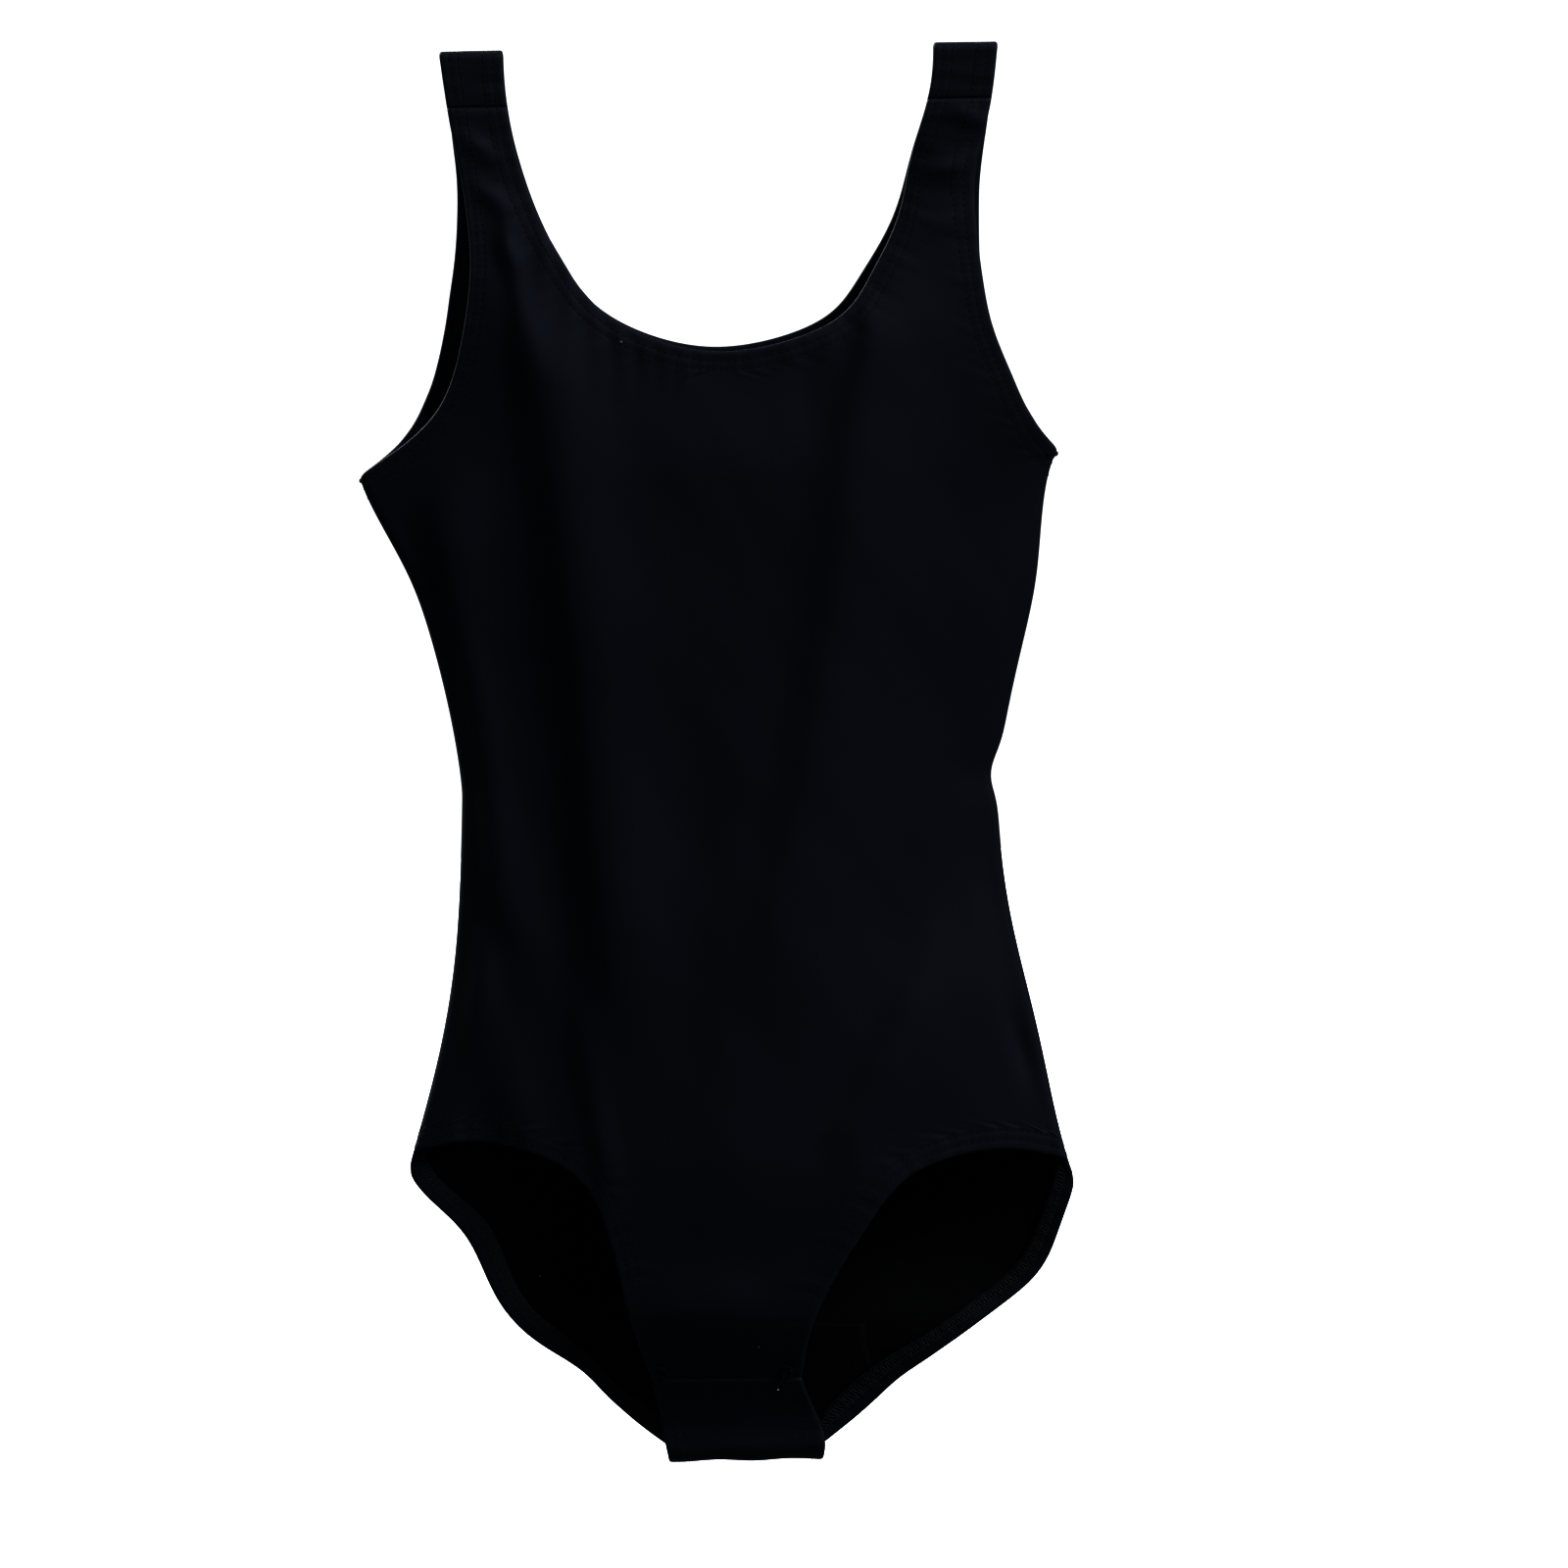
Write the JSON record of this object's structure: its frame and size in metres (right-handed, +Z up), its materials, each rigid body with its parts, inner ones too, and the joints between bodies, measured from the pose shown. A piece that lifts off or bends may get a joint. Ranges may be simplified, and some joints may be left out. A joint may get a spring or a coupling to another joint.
{
  "type": "gymnastics leotard",
  "caption": "Sleeveless scoop-neck gymnastics leotard in black stretch knit, hanging by its wide shoulder straps, with elasticated, twin-stitched openings.",
  "frame": {"origin": "midway between the two shoulder straps, at the height where the undersides of their folds rest on a hanger's arms, in the plane of the side seams", "axes": "+X towards the wearer's left, +Z up, the wearer faces -Y, so the front of the garment is at -Y"},
  "size_m": [0.3084, 0.0484, 0.6314],
  "materials": {
    "stretch_knit": "fine nylon and elastane knit with a soft sheen",
    "lining_knit": "matt cotton knit",
    "elastic": "ribbed, covered swimwear elastic",
    "thread": "slightly shiny bulked nylon thread",
    "label": "blank satin ribbon"
  },
  "bodies": {
    "root": {"back_panel": "stretch_knit", "care_label": "label", "crotch_lining": "lining_knit", "crotch_overlock": "thread", "front_panel": "stretch_knit", "left_armhole_coverstitch": "thread", "left_armhole_elastic": "elastic", "left_leg_bartack": "thread", "left_leg_coverstitch": "thread", "left_leg_elastic": "elastic", "left_shoulder_overlock": "thread", "left_side_overlock": "thread", "neck_coverstitch": "thread", "neck_elastic": "elastic", "right_armhole_coverstitch": "thread", "right_armhole_elastic": "elastic", "right_leg_bartack": "thread", "right_leg_coverstitch": "thread", "right_leg_elastic": "elastic", "right_shoulder_overlock": "thread", "right_side_overlock": "thread"}
  },
  "joints": []
}
